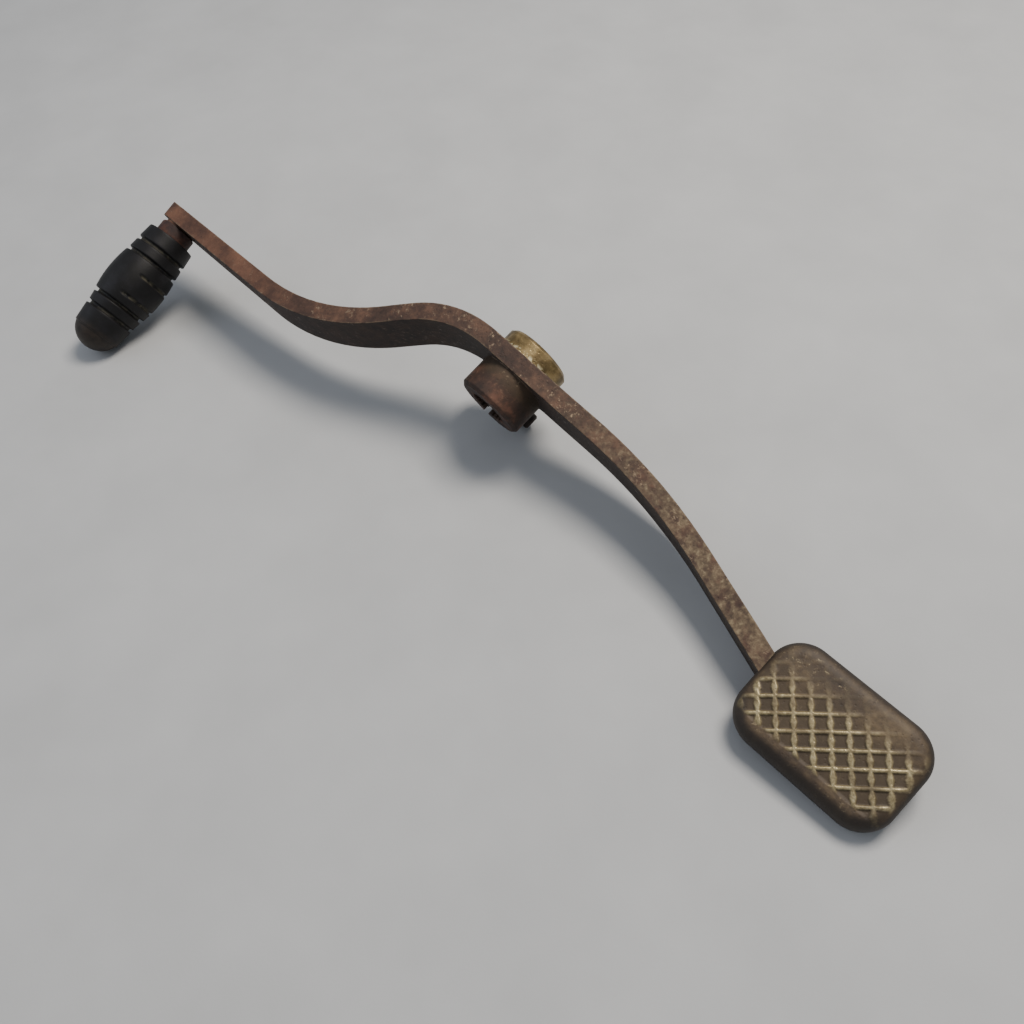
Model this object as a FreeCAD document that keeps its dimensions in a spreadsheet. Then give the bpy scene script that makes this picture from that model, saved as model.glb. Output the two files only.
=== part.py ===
import FreeCAD
import Part
import math
import os
import Sketcher

# Heel and toe gear change lever.
# Lever frame: Y is the toe peg's axis and points to the engine, X points to the heel pad and Z is up.
# The origin is the middle of the shaft bore at the arm's centre plane; the bore is square to the arm there.
# Every sub-part is then turned about the origin into the attitude in which the loose lever lies
# on a flat surface: on the rubber's tip, the clamp ears and the pad's rim.

V = FreeCAD.Vector
Y_AXIS = V(0, 1, 0)
Z_AXIS = V(0, 0, 1)

SIZES = {
    # arm, a flat bar on edge
    "arm_thick": 6.4,
    "arm_depth": 18.6,
    "toe_reach": 162.2,
    "toe_out": 15.2,
    "toe_drop": 15.2,
    "toe_past": 3.2,
    "eye_radius": 6.1,
    "toe_seat_proud": 0.9,
    "toe_seat_radius": 5.8,
    "toe_bend_at": 74.4,
    "toe_bend_out": 24.6,
    "toe_bend_radius": 91.5,
    "jog_at": 24.7,
    "jog_in": 3.47,
    "jog_radius": 45.0,
    "heel_bend_at": 61.2,
    "heel_bend_out": 8.6,
    "heel_bend_radius": 183.0,
    "heel_reach": 128.0,
    "heel_out": 42.3,
    "rise_at": 74.2,
    "rise_drop": 3.85,
    "rise_radius": 378.0,
    "crest_at": 28.0,
    "crest_lift": 8.3,
    "crest_radius": 70.0,
    "sag_at": 32.0,
    "sag_drop": 1.2,
    "sag_radius": 250.0,
    "lift_back": 38.0,
    "lift_drop": 0.8,
    "lift_radius": 110.0,
    "seat_back": 16.0,
    "seat_lift": 4.8,
    "seat_radius": 60.0,
    "seat_tilt": 5.0,
    "end_depth": 10.5,
    "end_taper_run": 60.0,
    # shaft boss with its clamp ears
    "boss_radius": 12.3,
    "boss_outer": 15.5,
    "boss_inner": 9.5,
    "boss_chamfer": 1.1,
    "boss_web_round": 5.0,
    "serration_tip_radius": 6.6,
    "serration_depth": 0.55,
    "serration_count": 24.0,
    "serration_land": 0.48,
    "clamp_turn": 23.2,
    "ear_width": 13.6,
    "ear_span": 12.0,
    "ear_centre": 6.0,
    "ear_reach": 24.4,
    "ear_round": 4.0,
    "slit": 2.0,
    # clamp bolt set
    "bolt_radius": 3.0,
    "bolt_gap": 0.25,
    "bolt_drop": 18.6,
    "bolt_tail": 2.4,
    "hex_flats": 10.0,
    "head_height": 3.8,
    "nut_height": 5.0,
    "plain_washer_radius": 6.0,
    "plain_washer_thick": 1.0,
    "spring_washer_radius": 5.3,
    "spring_washer_thick": 1.2,
    "spring_washer_split": 0.9,
    # toe pin
    "tenon_radius": 4.0,
    "tenon_recess": 0.7,
    "collar_radius": 6.9,
    "collar_length": 4.8,
    "shank_radius": 4.75,
    "shank_length": 45.0,
    "bead_radius": 5.75,
    "bead_at": 38.0,
    "bead_width": 4.0,
    # toe rubber
    "rubber_clearance": 0.08,
    "rubber_end_gap": 0.2,
    "rubber_root_radius": 9.5,
    "rubber_band_radius": 10.4,
    "rubber_barrel_radius": 11.6,
    "rubber_barrel_end_radius": 10.8,
    "rubber_tip_radius": 9.1,
    "rubber_groove": 1.5,
    "rubber_groove_depth": 1.1,
    "rubber_root_band": 6.1,
    "rubber_second_band": 4.2,
    "rubber_barrel": 19.2,
    "rubber_third_band": 3.9,
    "rubber_fourth_band": 8.0,
    "rubber_dome": 6.6,
    # heel pad, a pressed cup
    "pad_long": 49.0,
    "pad_wide": 32.8,
    "pad_corner": 10.0,
    "pad_height": 8.2,
    "pad_plate": 2.8,
    "pad_wall": 2.6,
    "pad_roll": 4.8,
    "pad_ahead": 29.1,
    "pad_beyond": 1.0,
    "pad_yaw": 7.0,
    "knurl_pitch": 4.6,
    "knurl_ridge": 1.25,
    "knurl_depth": 0.6,
    "knurl_margin": 3.2,
    "knurl_turn": 4.0,
    "notch_gap": 0.5,
    "weld_leg": 2.6,
    "weld_gap": 0.12,
    "weld_length": 8.0,
    # attitude when lying loose
    "rest_pitch": 6.65,
    "rest_roll": 21.15,
}

doc = FreeCAD.newDocument("GearLever")
sheet = doc.addObject("Spreadsheet::Sheet", "Sizes")
for row, (alias, value) in enumerate(SIZES.items(), start=1):
    sheet.set(f"A{row}", alias)
    sheet.set(f"B{row}", str(value))
    sheet.setAlias(f"B{row}", alias)
doc.recompute()


def size(alias):
    """The driving dimension with this name."""
    return float(getattr(sheet, alias))


def bind(feature, prop, expression):
    """Tie a property to cells of the sheet; names of cells are written as in SIZES."""
    words = expression.replace("(", " ( ").replace(")", " ) ").split()
    tied = ["Sizes." + word if word in SIZES else word for word in words]
    feature.setExpression(prop, " ".join(tied))


def turned(point, degrees):
    """A point (x, z) of the XZ plane turned about Y."""
    angle = math.radians(degrees)
    x, z = point
    return (x * math.cos(angle) + z * math.sin(angle), z * math.cos(angle) - x * math.sin(angle))


# ---------------------------------------------------------------- bodies and sketches

ROLL = FreeCAD.Rotation(V(1, 0, 0), size("rest_roll"))
PITCH = FreeCAD.Rotation(Y_AXIS, size("rest_pitch"))
REST_PLACE = FreeCAD.Placement(V(0, 0, 0), ROLL.multiply(PITCH))
SUBPARTS = []


def new_body(label, local=None):
    """A body placed in the lever frame by local, then laid down with the rest of the lever."""
    body = doc.addObject("PartDesign::Body", label)
    body.Label = label
    body.Placement = REST_PLACE.multiply(local) if local else REST_PLACE
    SUBPARTS.append(body)
    return body


def new_sketch(body, name, plane, offset=None):
    sketch = body.newObject("Sketcher::SketchObject", name)
    support = [part for part in body.Origin.OriginFeatures if part.Role == plane][0]
    sketch.AttachmentSupport = [(support, "")]
    sketch.MapMode = "FlatFace"
    if offset:
        sketch.AttachmentOffset = offset
    return sketch


def line(sketch, start, end):
    sketch.addGeometry(Part.LineSegment(V(*start, 0), V(*end, 0)), False)


def arc(sketch, start, middle, end):
    sketch.addGeometry(Part.Arc(V(*start, 0), V(*middle, 0), V(*end, 0)), False)


def closed(sketch, points):
    """A closed polygon through the points."""
    for start, end in zip(points, points[1:] + points[:1]):
        line(sketch, start, end)


def circle(sketch, centre, radius):
    """A circle whose radius is tied to an expression of the sheet."""
    index = sketch.addGeometry(Part.Circle(V(*centre, 0), Z_AXIS, 1.0), False)
    name = f"radius_{index}"
    constraint = sketch.addConstraint(Sketcher.Constraint("Radius", index, 1.0))
    sketch.renameConstraint(constraint, name)
    bind(sketch, f"Constraints.{name}", radius)


def pad(body, sketch, name, length, side="Symmetric", back=False):
    feature = body.newObject("PartDesign::Pad", name)
    feature.Profile = sketch
    feature.SideType = side
    feature.Reversed = back
    bind(feature, "Length", length)
    doc.recompute()
    return feature


def pocket(body, sketch, name, length, side="Symmetric", back=False):
    """A cut of a bound length; it has to take material away."""
    before = body.Tip.Shape.Volume
    feature = body.newObject("PartDesign::Pocket", name)
    feature.Profile = sketch
    feature.SideType = side
    feature.Reversed = back
    bind(feature, "Length", length)
    doc.recompute()
    if body.Tip.Shape.Volume > before - 0.01:
        raise RuntimeError(name + " cuts nothing")
    return feature


def revolve(body, sketch, name):
    """A full turn about the sketch's vertical axis."""
    feature = body.newObject("PartDesign::Revolution", name)
    feature.Profile = sketch
    feature.ReferenceAxis = (sketch, ["V_Axis"])
    feature.Angle = 360
    doc.recompute()
    return feature


def dress(body, kind, name, edges, prop, expression):
    """A Fillet or Chamfer of the chosen edges."""
    base = body.Tip
    feature = body.newObject("PartDesign::" + kind, name)
    feature.Base = (base, edges)
    bind(feature, prop, expression)
    doc.recompute()
    return feature


def edges_where(body, test):
    """Names of the body's edges, in its own frame, that pass the test."""
    edges = body.Tip.Shape.Edges
    return [f"Edge{number}" for number, edge in enumerate(edges, start=1) if test(edge)]


# ---------------------------------------------------------------- paths of lines and tangent arcs

def unit(start, end):
    run = (end[0] - start[0], end[1] - start[1])
    length = math.hypot(*run)
    return (run[0] / length, run[1] / length)


def offset_path(corners, radii, offset):
    """Lines and arcs parallel to a rounded polyline, offset to its left.

    Returns pieces: two points for a line, three for an arc.
    """
    pieces = []
    heading = unit(corners[0], corners[1])
    here = (corners[0][0] - heading[1] * offset, corners[0][1] + heading[0] * offset)
    for number, radius in enumerate(radii, start=1):
        into = unit(corners[number - 1], corners[number])
        out = unit(corners[number], corners[number + 1])
        turn = math.atan2(into[0] * out[1] - into[1] * out[0], into[0] * out[0] + into[1] * out[1])
        side = math.copysign(1.0, turn)
        back = radius * math.tan(abs(turn) / 2)
        corner = corners[number]
        start = (corner[0] - into[0] * back, corner[1] - into[1] * back)
        centre = (start[0] - into[1] * side * radius, start[1] + into[0] * side * radius)
        arm = radius - side * offset
        points = []
        for share in (0.0, 0.5, 1.0):
            angle = math.atan2(into[1], into[0]) + turn * share
            swing = (math.sin(angle) * side * arm, math.cos(angle) * side * arm)
            points.append((centre[0] + swing[0], centre[1] - swing[1]))
        pieces.append((here, points[0]))
        pieces.append(tuple(points))
        here = points[2]
    heading = unit(corners[-2], corners[-1])
    end = (corners[-1][0] - heading[1] * offset, corners[-1][1] + heading[0] * offset)
    pieces.append((here, end))
    return pieces


def draw(sketch, pieces):
    for piece in pieces:
        if len(piece) == 2:
            line(sketch, *piece)
        else:
            arc(sketch, *piece)


def plan_corners():
    """The arm's centre line seen from above, toe to heel."""
    return [
        (-size("toe_reach"), -size("toe_out")),
        (-size("toe_bend_at"), -size("toe_bend_out")),
        (-size("jog_at"), size("jog_in")),
        (size("heel_bend_at"), -size("heel_bend_out")),
        (size("heel_reach"), -size("heel_out")),
    ]


def seat_start():
    """Where the pad's seat starts on the side view's centre line."""
    return (size("heel_reach") - size("seat_back"), size("seat_lift"))


def seat_end():
    """The end of the side view's centre line, past the arm's end under the pad."""
    start = seat_start()
    run = size("heel_reach") + size("arm_depth") - start[0]
    return (start[0] + run, start[1] + run * math.tan(math.radians(size("seat_tilt"))))


def side_corners():
    """The arm's centre line seen from the side, toe to heel."""
    return [
        (-size("toe_reach"), -size("toe_drop")),
        (-size("rise_at"), -size("rise_drop")),
        (-size("crest_at"), size("crest_lift")),
        (size("sag_at"), -size("sag_drop")),
        (size("heel_reach") - size("lift_back"), -size("lift_drop")),
        seat_start(),
        seat_end(),
    ]


PLAN_RADII = ["toe_bend_radius", "jog_radius", "heel_bend_radius"]
SIDE_RADII = ["rise_radius", "crest_radius", "sag_radius", "lift_radius", "seat_radius"]


def heading_of(start, end):
    run = unit(start, end)
    return math.degrees(math.atan2(run[1], run[0]))


HUB_YAW = heading_of(plan_corners()[2], plan_corners()[3])
HEEL_YAW = heading_of(plan_corners()[3], plan_corners()[4])


# ---------------------------------------------------------------- lever arm

def toe_eye(along=0.0, aside=0.0):
    """The pin's eye in the side view, one eye radius under the bar's upper edge.

    The point is moved by lengths along the bar towards the heel and square to it, upwards.
    """
    toe = side_corners()[0]
    into = unit(toe, side_corners()[1])
    rise = size("arm_depth") / 2 - size("eye_radius") + aside
    return (toe[0] + into[0] * along - into[1] * rise, toe[1] + into[1] * along + into[0] * rise)


def draw_side_view(sketch):
    """The bar's outline from the side: it narrows to a round toe end and is square at the heel."""
    radii = [size(name) for name in SIDE_RADII]
    half = size("arm_depth") / 2
    past = size("toe_past")
    radius = size("eye_radius")
    upper = offset_path(side_corners(), radii, half)
    lower = offset_path(side_corners(), radii, -half)
    upper[0] = (toe_eye(-past, radius), upper[0][1])
    lower[0] = (toe_eye(-past, -radius), lower[0][1])
    draw(sketch, upper)
    draw(sketch, lower)
    arc(sketch, upper[0][0], toe_eye(-past - radius, 0), lower[0][0])
    line(sketch, upper[-1][-1], lower[-1][-1])


def across_hub(offset=0.0):
    """A sketch's place square to the bore's axis, offset to the outer side."""
    turn = FreeCAD.Rotation(Y_AXIS, HUB_YAW)
    return FreeCAD.Placement(turn.multVec(V(0, 0, offset)), turn)


def draw_plan_view(sketch):
    """All that lies beside the bar seen from above: a frame around its curved band."""
    radii = [size(name) for name in PLAN_RADII]
    half = size("arm_thick") / 2
    long = 60.0
    corners = plan_corners()
    into = unit(corners[0], corners[1])
    corners[0] = (corners[0][0] - into[0] * long / 3, corners[0][1] - into[1] * long / 3)
    left = offset_path(corners, radii, half)
    right = offset_path(corners, radii, -half)
    draw(sketch, left)
    draw(sketch, right)
    line(sketch, left[0][0], right[0][0])
    line(sketch, left[-1][-1], right[-1][-1])
    low = (corners[0][0] - long, -2 * long)
    high = (corners[-1][0] + long, 2 * long)
    closed(sketch, [low, (high[0], low[1]), high, (low[0], high[1])])


def hub_axis():
    return FreeCAD.Rotation(Z_AXIS, HUB_YAW).multVec(Y_AXIS)


def on_boss(points):
    """True where all the points lie at the boss's radius from the bore's axis."""
    return all(abs(point.cross(hub_axis()).Length - size("boss_radius")) < 0.05 for point in points)


def make_arm():
    body = new_body("lever_arm")
    side = new_sketch(body, "side_view", "XZ_Plane")
    draw_side_view(side)
    pad(body, side, "bar", "4 * toe_bend_out")
    web = new_sketch(body, "boss_view", "XZ_Plane", across_hub())
    circle(web, (0, 0), "boss_radius")
    pad(body, web, "boss_web", "4 * toe_bend_out")

    def web_corner(edge):
        ends = [vertex.Point for vertex in edge.Vertexes]
        below = all(end.z < 0 for end in ends)
        return below and len(ends) == 2 and on_boss(ends)

    dress(body, "Fillet", "web_round", edges_where(body, web_corner), "Radius", "boss_web_round")
    plan = new_sketch(body, "plan_view", "XY_Plane")
    draw_plan_view(plan)
    pocket(body, plan, "plan_cut", "4 * toe_bend_out")
    trim_heel_end(body)
    add_boss(body)
    add_toe_eye(body)
    return body


def trim_heel_end(body):
    """The lower edge rises towards the pad."""
    end = seat_end()
    half = size("arm_depth") / 2
    taper = new_sketch(body, "end_taper", "XZ_Plane")
    top = end[1] + half
    low = end[1] - 3 * half
    start = size("heel_reach") - size("end_taper_run")
    foot = -size("lift_drop") - half - 0.3
    closed(taper, [(start, foot), (end[0], top - size("end_depth")), (end[0], low), (start, low)])
    pocket(body, taper, "end_taper_cut", "4 * toe_bend_out")


def add_boss(body):
    half_way = (size("boss_outer") - size("boss_inner")) / 2
    boss = new_sketch(body, "boss_end", "XZ_Plane", across_hub(half_way))
    circle(boss, (0, 0), "boss_radius")
    pad(body, boss, "boss", "boss_outer + boss_inner")

    def boss_rim(edge):
        ends = (edge.FirstParameter, edge.LastParameter)
        points = [edge.valueAt(ends[0]), edge.valueAt((ends[0] + ends[1]) / 2), edge.valueAt(ends[1])]
        along = [point.dot(hub_axis()) for point in points]
        at_end = max(along) < 0.01 - size("boss_outer") or min(along) > size("boss_inner") - 0.01
        return at_end and on_boss(points)

    dress(body, "Chamfer", "boss_rims", edges_where(body, boss_rim), "Size", "boss_chamfer")
    add_ears(body)
    bore = new_sketch(body, "bore_view", "XZ_Plane", across_hub())
    circle(bore, (0, 0), "serration_tip_radius")
    pocket(body, bore, "bore", "4 * boss_outer")
    cut_serrations(body)
    cut_slit(body)


def add_ears(body):
    """The clamp's two ears, one block until the slit parts them."""
    ears = new_sketch(body, "ear_view", "XZ_Plane", across_hub(size("ear_centre")))
    wide = size("ear_width") / 2
    reach = size("ear_reach")
    rounding = size("ear_round")
    inner = wide - rounding
    slant = rounding * (1 - math.sqrt(0.5))

    def place(x, z):
        return turned((x, z), size("clamp_turn"))

    line(ears, place(-wide, 0), place(-wide, rounding - reach))
    arc(ears, place(-wide, rounding - reach), place(slant - wide, slant - reach), place(-inner, -reach))
    line(ears, place(-inner, -reach), place(inner, -reach))
    arc(ears, place(inner, -reach), place(wide - slant, slant - reach), place(wide, rounding - reach))
    line(ears, place(wide, rounding - reach), place(wide, 0))
    line(ears, place(wide, 0), place(-wide, 0))
    pad(body, ears, "ears", "ear_span")


def cut_slit(body):
    """The slit from the bore down between the ears, and the bolt's hole across it."""
    slit = new_sketch(body, "slit_view", "XZ_Plane", across_hub())
    gap = size("slit") / 2
    far = -2 * size("ear_reach")
    corners = [(-gap, 0), (gap, 0), (gap, far), (-gap, far)]
    closed(slit, [turned(corner, size("clamp_turn")) for corner in corners])
    pocket(body, slit, "slit_cut", "4 * boss_outer")
    turn = across_hub().Rotation.multiply(FreeCAD.Rotation(V(1, 0, 0), size("clamp_turn")))
    clamp = FreeCAD.Placement(V(0, 0, 0), turn)
    hole = new_sketch(body, "bolt_hole_view", "YZ_Plane", clamp)
    circle(hole, (-size("ear_centre"), -size("bolt_drop")), "bolt_radius + bolt_gap")
    pocket(body, hole, "bolt_hole", "2 * ear_width")


def cut_serrations(body):
    """Grooves between the boss's inner teeth, which keep flat lands at the tip radius."""
    count = int(size("serration_count"))
    tip = size("serration_tip_radius")
    root = tip + size("serration_depth")
    pitch = 2 * math.pi / count
    wide = pitch * (1 - size("serration_land")) / 2
    narrow = wide * 0.35
    view = new_sketch(body, "serration_view", "XZ_Plane", across_hub())
    for number in range(count):
        middle = pitch * number
        ring = [(tip - 0.3, -wide), (root, -narrow), (root, narrow), (tip - 0.3, wide)]
        closed(view, [(r * math.cos(middle + a), r * math.sin(middle + a)) for r, a in ring])
    pocket(body, view, "serrations", "4 * boss_outer")


def add_toe_eye(body):
    """A flat seat on the outer flank for the pin's collar, and the pin's hole."""
    plane = FreeCAD.Placement(V(0, 0, size("toe_out")), FreeCAD.Rotation())
    seat = new_sketch(body, "toe_seat_view", "XZ_Plane", plane)
    circle(seat, toe_eye(), "toe_seat_radius")
    pad(body, seat, "toe_seat", "arm_thick / 2 + toe_seat_proud", "One side")
    eye = new_sketch(body, "toe_eye_view", "XZ_Plane", plane)
    circle(eye, toe_eye(), "tenon_radius + 0.05")
    pocket(body, eye, "toe_eye", "3 * arm_thick")


# ---------------------------------------------------------------- toe pin and rubber

def toe_place():
    x, z = toe_eye()
    return FreeCAD.Placement(V(x, -size("toe_out"), z), FreeCAD.Rotation())


def seat_face():
    """Distance from the arm's centre plane to the flat seat that the collar stands on."""
    return size("arm_thick") / 2 + size("toe_seat_proud")


def shoulder_at():
    """Distance from the arm's centre plane to the collar's outer face, which the rubber meets."""
    return seat_face() + size("collar_length")


def make_toe_pin():
    body = new_body("toe_pin", toe_place())
    profile = new_sketch(body, "pin_profile", "XY_Plane")
    face = seat_face()
    shoulder = shoulder_at()
    tip = shoulder + size("shank_length")
    bead = shoulder + size("bead_at")
    tenon = size("tenon_radius")
    shank = size("shank_radius")
    half = size("bead_width") / 2
    top = size("arm_thick") / 2 - size("tenon_recess")
    line(profile, (0, top), (tenon - 0.6, top))
    line(profile, (tenon - 0.6, top), (tenon, top - 0.6))
    line(profile, (tenon, top - 0.6), (tenon, -face))
    line(profile, (tenon, -face), (size("collar_radius") - 0.5, -face))
    line(profile, (size("collar_radius") - 0.5, -face), (size("collar_radius"), -face - 0.5))
    line(profile, (size("collar_radius"), -face - 0.5), (size("collar_radius"), -shoulder))
    line(profile, (size("collar_radius"), -shoulder), (shank, -shoulder))
    line(profile, (shank, -shoulder), (shank, -bead + half))
    arc(profile, (shank, -bead + half), (size("bead_radius"), -bead), (shank, -bead - half))
    line(profile, (shank, -bead - half), (shank, -tip + 1))
    line(profile, (shank, -tip + 1), (shank - 1, -tip))
    line(profile, (shank - 1, -tip), (0, -tip))
    line(profile, (0, -tip), (0, top))
    revolve(body, profile, "pin")
    return body


def rubber_profile():
    """Radius and distance along the rubber, root to tip, for its ribs and grooves."""
    groove = size("rubber_groove")
    deep = size("rubber_groove_depth")
    soft = 0.35
    root = size("rubber_root_radius")
    band = size("rubber_band_radius")
    end = size("rubber_barrel_end_radius")
    tip = size("rubber_tip_radius")
    ribs = [
        (size("rubber_root_band"), root, root + 0.5),
        (size("rubber_second_band"), band - 0.3, band),
        (size("rubber_barrel"), end, end),
        (size("rubber_third_band"), band - 0.2, band - 0.6),
        (size("rubber_fourth_band"), (band + tip) / 2, tip),
    ]
    rows = []
    along = 0.0
    for number, (length, start, finish) in enumerate(ribs):
        first = number == 0
        last = number == len(ribs) - 1
        rows.append(("line", (start - soft, along)))
        rows.append(("line", (start, along + soft)))
        if number == 2:
            belly = (size("rubber_barrel_radius"), along + length / 2)
            rows.append(("arc", belly, (finish, along + length - soft)))
        else:
            rows.append(("line", (finish, along + length - soft)))
        rows.append(("line", (finish - soft, along + length)))
        along += length
        if not last:
            floor = min(start, finish, ribs[number + 1][1]) - deep
            rows.append(("line", (floor, along)))
            rows.append(("line", (floor, along + groove)))
            along += groove
    return rows, along


def draw_rubber(sketch, root):
    """The rubber's half section, closed over the pin's end."""
    rows, length = rubber_profile()
    clear = size("rubber_clearance")
    bore = size("shank_radius") + clear

    def place(point):
        return (point[0], -root - point[1])

    here = (bore, 0.0)
    for row in rows:
        if row[0] == "line":
            line(sketch, place(here), place(row[1]))
        else:
            arc(sketch, place(here), place(row[1]), place(row[2]))
        here = row[-1]
    tip = here[0]
    dome = size("rubber_dome")
    ball = (tip ** 2 + dome ** 2) / (2 * dome)
    rise = math.acos((ball - dome) / ball) / 2
    crown = (ball * math.sin(rise), length + dome - ball + ball * math.cos(rise))
    arc(sketch, place(here), place(crown), place((0, length + dome)))
    bead = size("bead_at") - size("rubber_end_gap")
    half = size("bead_width") / 2
    depth = size("shank_length") - size("rubber_end_gap") + 0.4
    line(sketch, place((0, length + dome)), place((0, depth)))
    line(sketch, place((0, depth)), place((bore, depth)))
    line(sketch, place((bore, depth)), place((bore, bead + half)))
    groove = (size("bead_radius") + clear, bead)
    arc(sketch, place((bore, bead + half)), place(groove), place((bore, bead - half)))
    line(sketch, place((bore, bead - half)), place((bore, 0)))


def make_rubber():
    body = new_body("peg_rubber", toe_place())
    profile = new_sketch(body, "rubber_section", "XY_Plane")
    draw_rubber(profile, shoulder_at() + size("rubber_end_gap"))
    revolve(body, profile, "sleeve")
    return body


# ---------------------------------------------------------------- heel pad and its welds

def seat_place():
    """On the arm's seat below the pad's middle: the plate's underside lies on the bar's upper edge."""
    tilt = math.radians(size("seat_tilt"))
    half = size("arm_depth") / 2
    ahead = size("pad_ahead")
    start = seat_start()
    x = start[0] - half * math.sin(tilt) + ahead * math.cos(tilt)
    y = -size("heel_out") - size("pad_beyond")
    z = start[1] + half * math.cos(tilt) + ahead * math.sin(tilt)
    return FreeCAD.Placement(V(x, y, z), FreeCAD.Rotation(Y_AXIS, -size("seat_tilt")))


def pad_place():
    """The seat's place, turned a little towards the arm's own heading."""
    yaw = FreeCAD.Rotation(Z_AXIS, -size("pad_yaw"))
    return seat_place().multiply(FreeCAD.Placement(V(0, 0, 0), yaw))


def rounded_rectangle(sketch, long, wide, corner):
    """Centred on the origin, with round corners."""
    x = long / 2
    y = wide / 2
    cut = corner * (1 - math.sqrt(0.5))
    for sx, sy in ((1, 1), (-1, 1), (-1, -1), (1, -1)):
        side = (sx * x, sy * (y - corner))
        middle = (sx * (x - cut), sy * (y - cut))
        arc(sketch, side, middle, (sx * (x - corner), sy * y))
    line(sketch, (corner - x, y), (x - corner, y))
    line(sketch, (corner - x, -y), (x - corner, -y))
    line(sketch, (x, corner - y), (x, y - corner))
    line(sketch, (-x, corner - y), (-x, y - corner))


def knurl_cells():
    """Centres of the sunk cells, in rows at about 45 degrees to the pad's sides."""
    step = size("knurl_pitch") / math.sqrt(2)
    half_long = size("pad_long") / 2 - size("knurl_margin")
    half_wide = size("pad_wide") / 2 - size("knurl_margin")
    corner = size("pad_corner") - size("knurl_margin") / 2
    turn = math.radians(size("knurl_turn"))
    cells = []
    for column in range(-20, 21):
        for row in range(-20, 21):
            if (column + row) % 2:
                continue
            x = step * (column * math.cos(turn) + row * math.sin(turn))
            y = step * (row * math.cos(turn) - column * math.sin(turn))
            room = step * 0.8
            over_x = max(abs(x) + room - (half_long - corner), 0)
            over_y = max(abs(y) + room - (half_wide - corner), 0)
            if math.hypot(over_x, over_y) <= corner:
                cells.append((x, y))
    return cells


def make_pad():
    body = new_body("heel_pad", pad_place())
    low = FreeCAD.Placement(V(0, 0, size("pad_plate")), FreeCAD.Rotation())
    outline = new_sketch(body, "pad_outline", "XY_Plane", low)
    rounded_rectangle(outline, size("pad_long"), size("pad_wide"), size("pad_corner"))
    pad(body, outline, "blank", "pad_height", "One side", True)
    face = size("pad_plate")
    top = edges_where(body, lambda edge: edge.BoundBox.ZMin > face - 0.01)
    dress(body, "Fillet", "rolled_edge", top, "Radius", "pad_roll")
    inside = new_sketch(body, "cup_outline", "XY_Plane")
    wall = size("pad_wall")
    long = size("pad_long") - 2 * wall
    wide = size("pad_wide") - 2 * wall
    rounded_rectangle(inside, long, wide, size("pad_corner") - wall)
    pocket(body, inside, "cup", "2 * pad_height", "One side")
    knurl = new_sketch(body, "knurl_view", "XY_Plane", low)
    reach = (size("knurl_pitch") - size("knurl_ridge")) / math.sqrt(2)
    turn = math.radians(size("knurl_turn"))
    ahead = (reach * math.cos(turn), -reach * math.sin(turn))
    for x, y in knurl_cells():
        closed(knurl, [
            (x - ahead[0], y - ahead[1]),
            (x + ahead[1], y - ahead[0]),
            (x + ahead[0], y + ahead[1]),
            (x - ahead[1], y + ahead[0]),
        ])
    pocket(body, knurl, "knurl", "knurl_depth", "One side")
    cut_notch(body)
    return body


def arm_in_pad(x):
    """A point of the arm's centre line in the pad's frame, x along the seat from the pad's middle."""
    seat = seat_place()
    heel = plan_corners()[4]
    run = seat.Base.x + x * math.cos(math.radians(size("seat_tilt"))) - heel[0]
    aside = heel[1] + run * math.tan(math.radians(HEEL_YAW)) - seat.Base.y
    point = FreeCAD.Rotation(Z_AXIS, size("pad_yaw")).multVec(V(x, aside, 0))
    return (point.x, point.y)


def cut_notch(body):
    """The skirt opens where the arm comes in."""
    start = arm_in_pad(-size("pad_long") / 2 - 6)
    end = arm_in_pad(-size("pad_long") / 2 + size("pad_wall") + 3)
    run = unit(start, end)
    wide = size("arm_thick") / 2 + size("notch_gap")
    shift = (-run[1] * wide, run[0] * wide)
    notch = new_sketch(body, "notch_view", "XY_Plane")
    closed(notch, [
        (start[0] + shift[0], start[1] + shift[1]),
        (start[0] - shift[0], start[1] - shift[1]),
        (end[0] - shift[0], end[1] - shift[1]),
        (end[0] + shift[0], end[1] + shift[1]),
    ])
    pocket(body, notch, "notch", "2 * pad_height", "One side")


def make_weld(label, side):
    """A fillet bead between the arm's flank and the plate's underside."""
    inner = size("pad_long") / 2 - size("pad_wall") - 4.4
    x, y = arm_in_pad(-inner)
    along = FreeCAD.Placement(V(x, y, 0), FreeCAD.Rotation(Z_AXIS, HEEL_YAW + size("pad_yaw")))
    body = new_body(label, pad_place().multiply(along))
    section = new_sketch(body, "bead_section", "YZ_Plane")
    gap = size("weld_gap")
    near = side * (size("arm_thick") / 2 + gap)
    far = near + side * size("weld_leg")
    closed(section, [(near, -0.02), (far, -0.02), (near, -size("weld_leg"))])
    pad(body, section, "bead", "weld_length", "One side")
    return body


# ---------------------------------------------------------------- clamp bolt set

def clamp_place(along):
    """On the bolt's axis, local Y pointing from the head to the nut."""
    turn = FreeCAD.Rotation(Z_AXIS, HUB_YAW).multiply(FreeCAD.Rotation(Y_AXIS, size("clamp_turn")))
    centre = turn.multVec(V(along, -size("ear_centre"), -size("bolt_drop")))
    return FreeCAD.Placement(centre, turn.multiply(FreeCAD.Rotation(Z_AXIS, -90)))


def hexagon(sketch, flats):
    corner = flats / math.sqrt(3)
    turns = [math.radians(60 * number) for number in range(6)]
    closed(sketch, [(corner * math.cos(turn), corner * math.sin(turn)) for turn in turns])


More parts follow.
